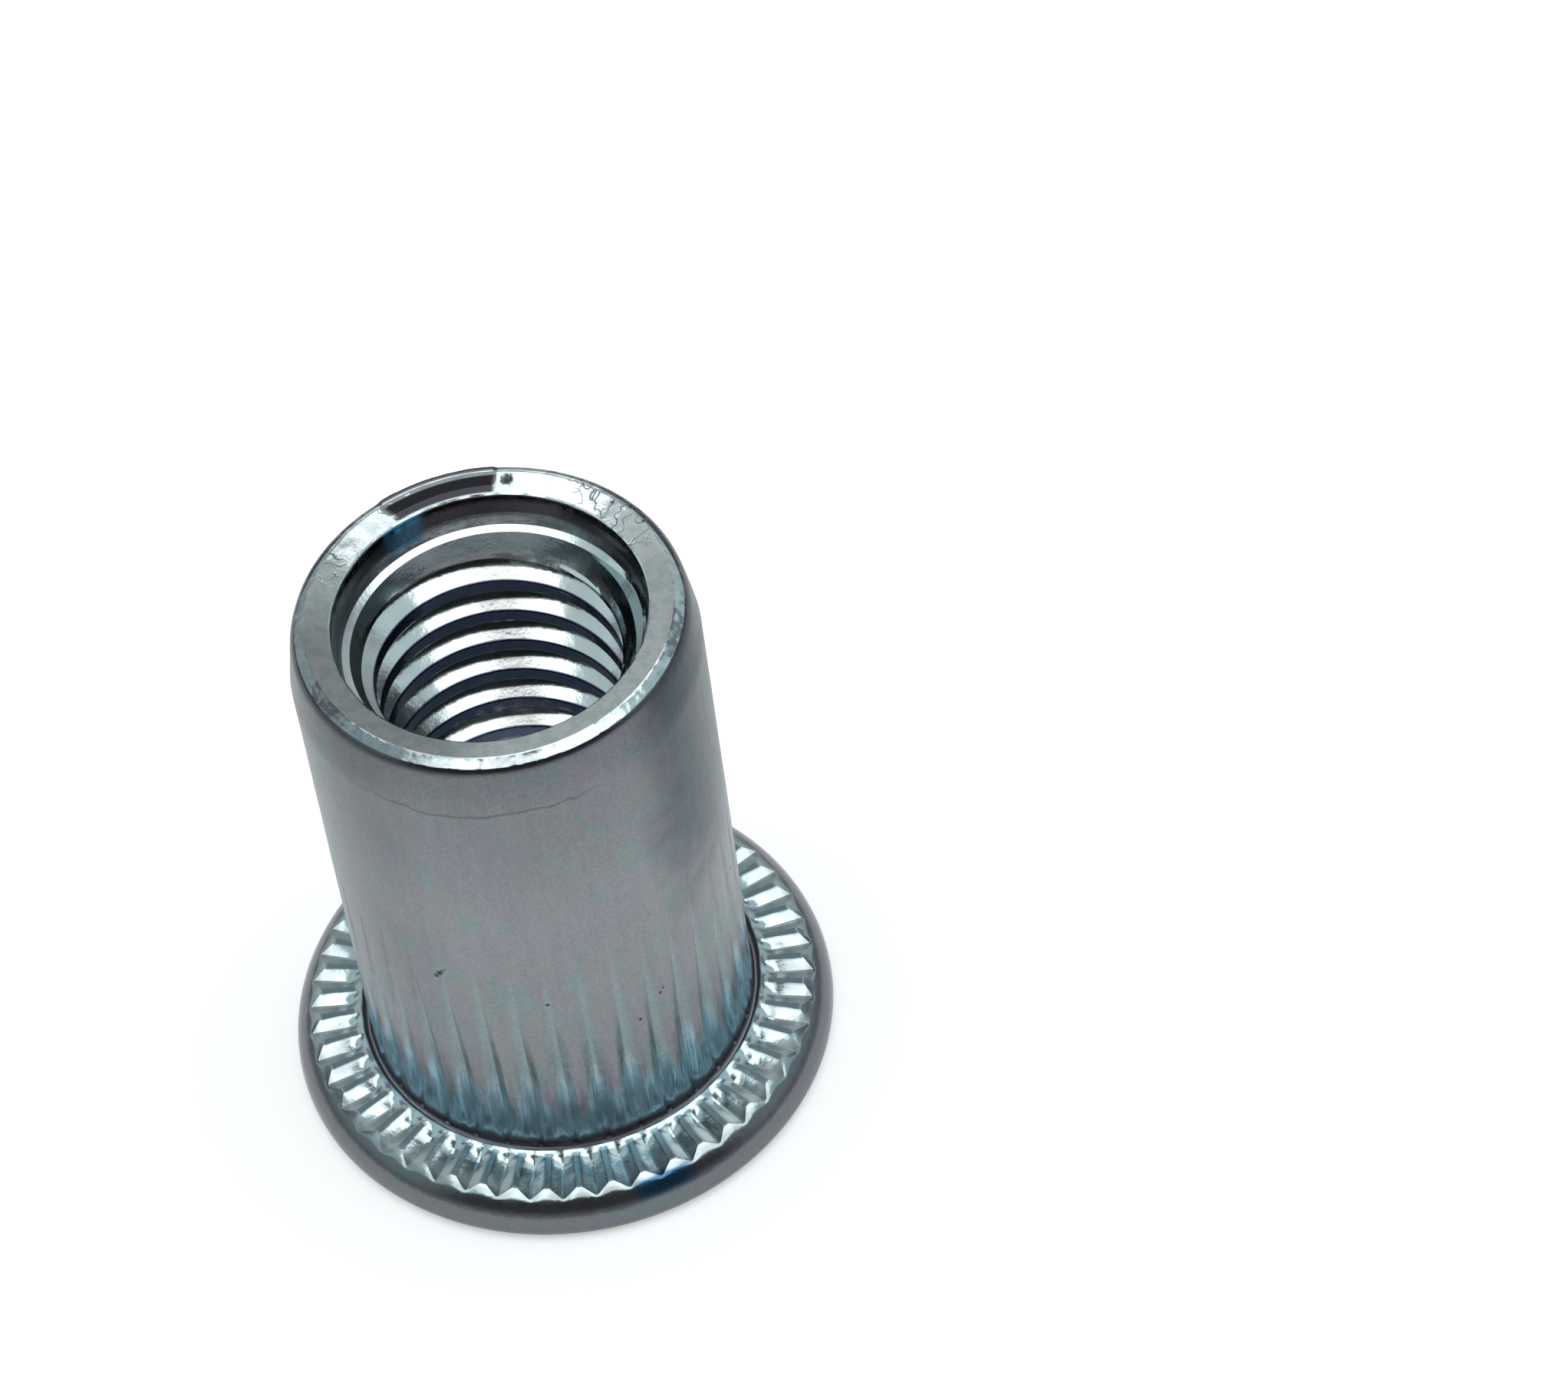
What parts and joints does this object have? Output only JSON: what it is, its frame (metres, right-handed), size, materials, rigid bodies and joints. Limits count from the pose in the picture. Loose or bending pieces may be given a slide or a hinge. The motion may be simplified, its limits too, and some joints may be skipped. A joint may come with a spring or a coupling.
{
  "type": "rivet nut",
  "caption": "Open-ended blind rivet nut: a threaded sleeve with a knurled shank and a flat flange head that is toothed on its underside.",
  "frame": {"origin": "centre of the flange head's outer face, on which the nut stands", "axes": "+Z along the thread from the head towards the nose; +X and +Y are across it, with a tooth crest facing +X"},
  "size_m": [0.0154, 0.0154, 0.018],
  "materials": {
    "zinc_plated_steel": "satin bluish-grey zinc plating, brighter on the worn teeth and edges"
  },
  "bodies": {
    "root": {"rivet_nut": "zinc_plated_steel"}
  },
  "joints": []
}
